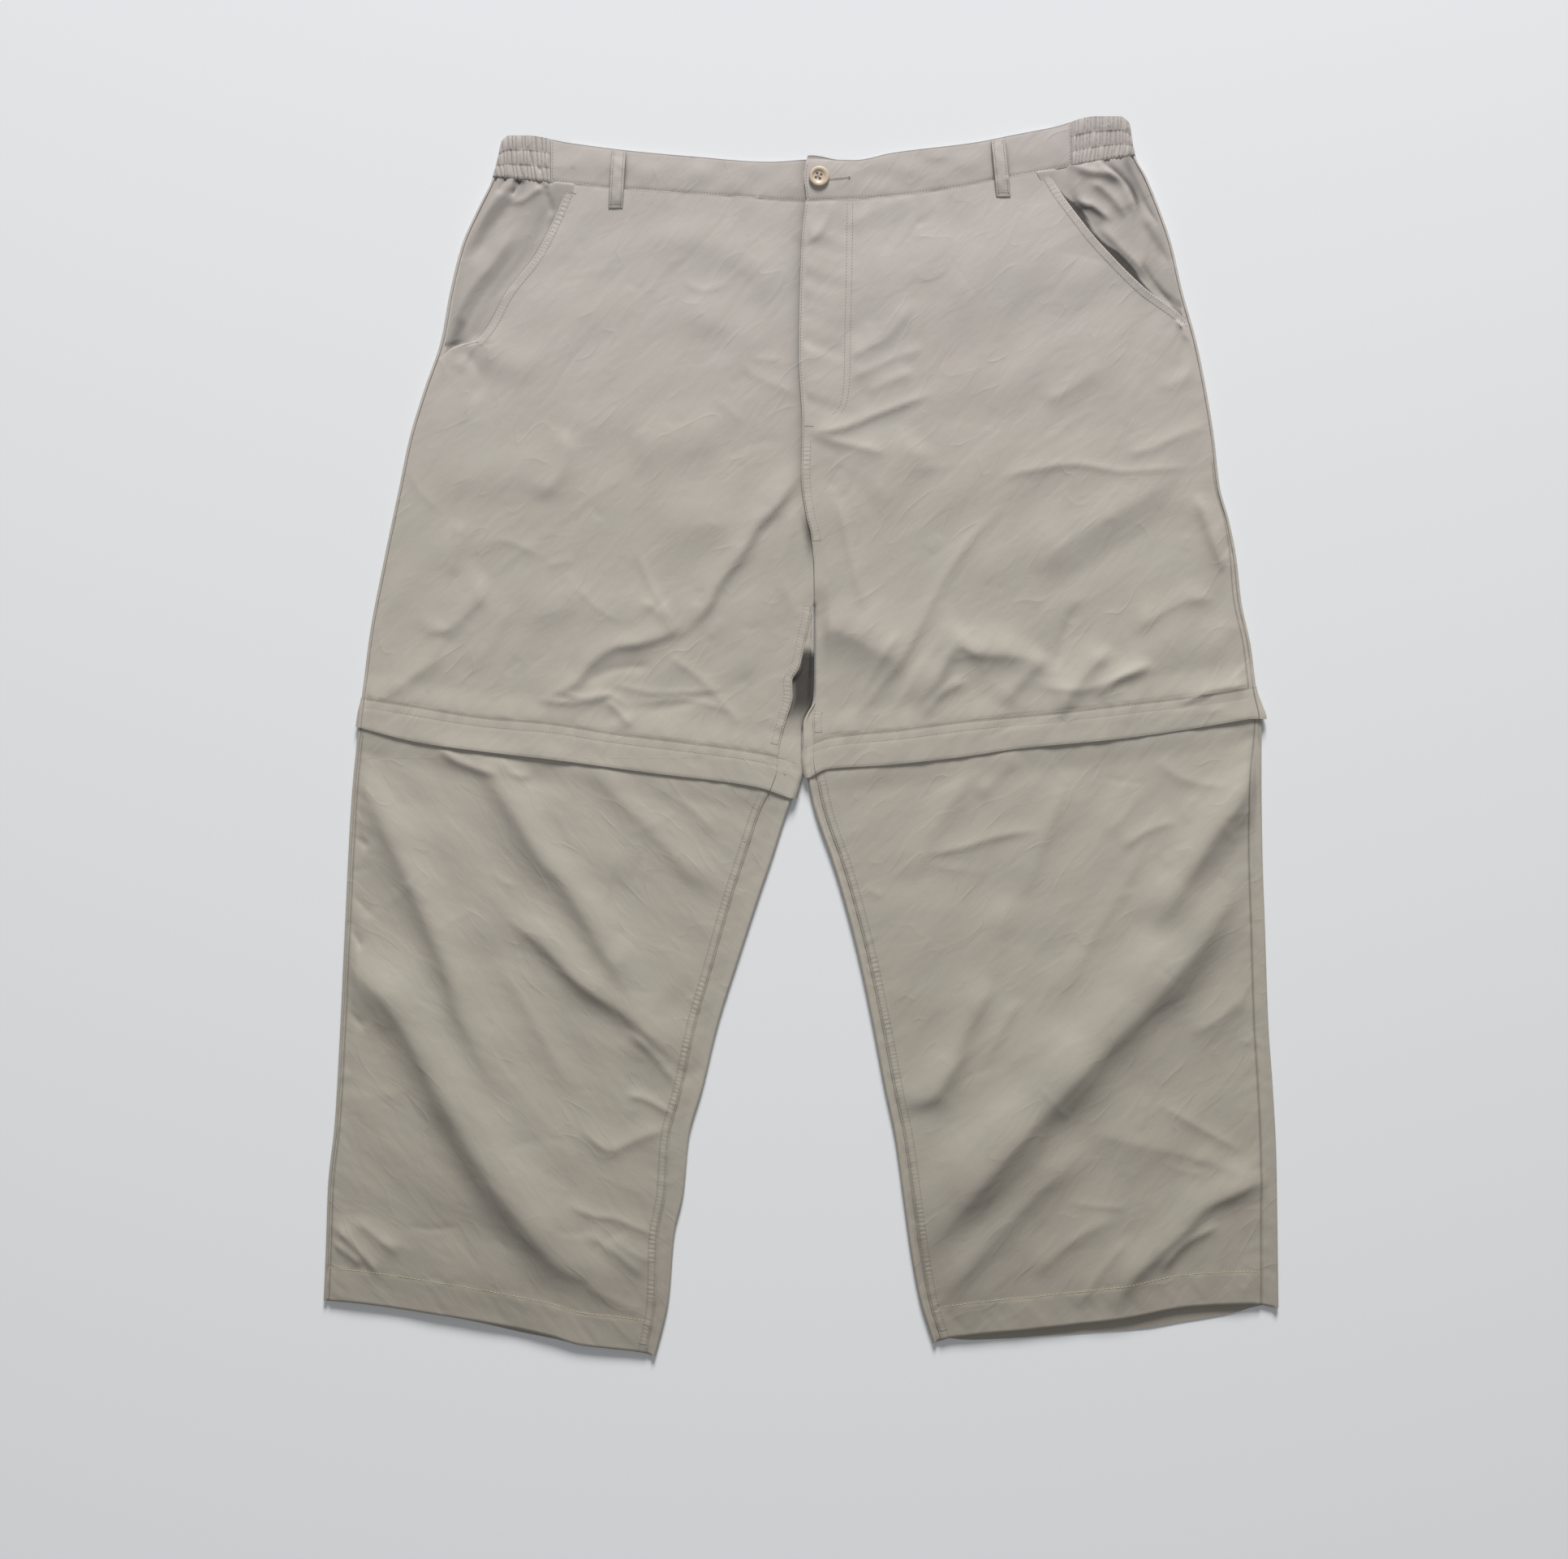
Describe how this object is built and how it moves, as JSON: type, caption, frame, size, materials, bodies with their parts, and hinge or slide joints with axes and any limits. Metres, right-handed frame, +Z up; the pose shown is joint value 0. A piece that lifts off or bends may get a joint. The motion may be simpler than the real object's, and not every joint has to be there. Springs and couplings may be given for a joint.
{
  "type": "convertible zip-off trousers",
  "caption": "Convertible zip-off trousers laid flat, front up: part-elasticated waist with button and fly, slant pockets, belt loops, and knee flaps over the leg zips.",
  "frame": {"origin": "centre of the outline seen from above, on the surface that the trousers lie on", "axes": "+X to the wearer's left, +Y from the hems to the waist, +Z up from the surface; the front faces up"},
  "size_m": [0.8449, 1.0978, 0.0127],
  "materials": {
    "shell": "light taupe plain-weave nylon, dry hand, faint sheen",
    "lower_leg": "the same nylon, a little darker and greener towards the hems",
    "waistband": "doubled nylon, topstitched, gathered over elastic at the sides",
    "zip": "moulded zip teeth on woven tape, hidden under the flaps and fly",
    "button": "cream moulded resin with a soft polish"
  },
  "bodies": {
    "root": {"back_left": "shell", "back_right": "shell", "belt_loop_left": "waistband", "belt_loop_right": "waistband", "button": "button", "flap_back_left": "shell", "flap_back_right": "shell", "flap_front_left": "shell", "flap_front_right": "shell", "fly_zip": "zip", "front_left": "shell", "front_right": "shell", "leg_zip_left": "zip", "leg_zip_right": "zip", "lower_back_left": "lower_leg", "lower_back_right": "lower_leg", "lower_front_left": "lower_leg", "lower_front_right": "lower_leg", "pocket_side_left": "shell", "pocket_side_right": "shell", "waistband_back": "waistband", "waistband_front_left": "waistband", "waistband_front_right": "waistband", "waistband_side_left": "waistband", "waistband_side_right": "waistband"}
  },
  "joints": []
}
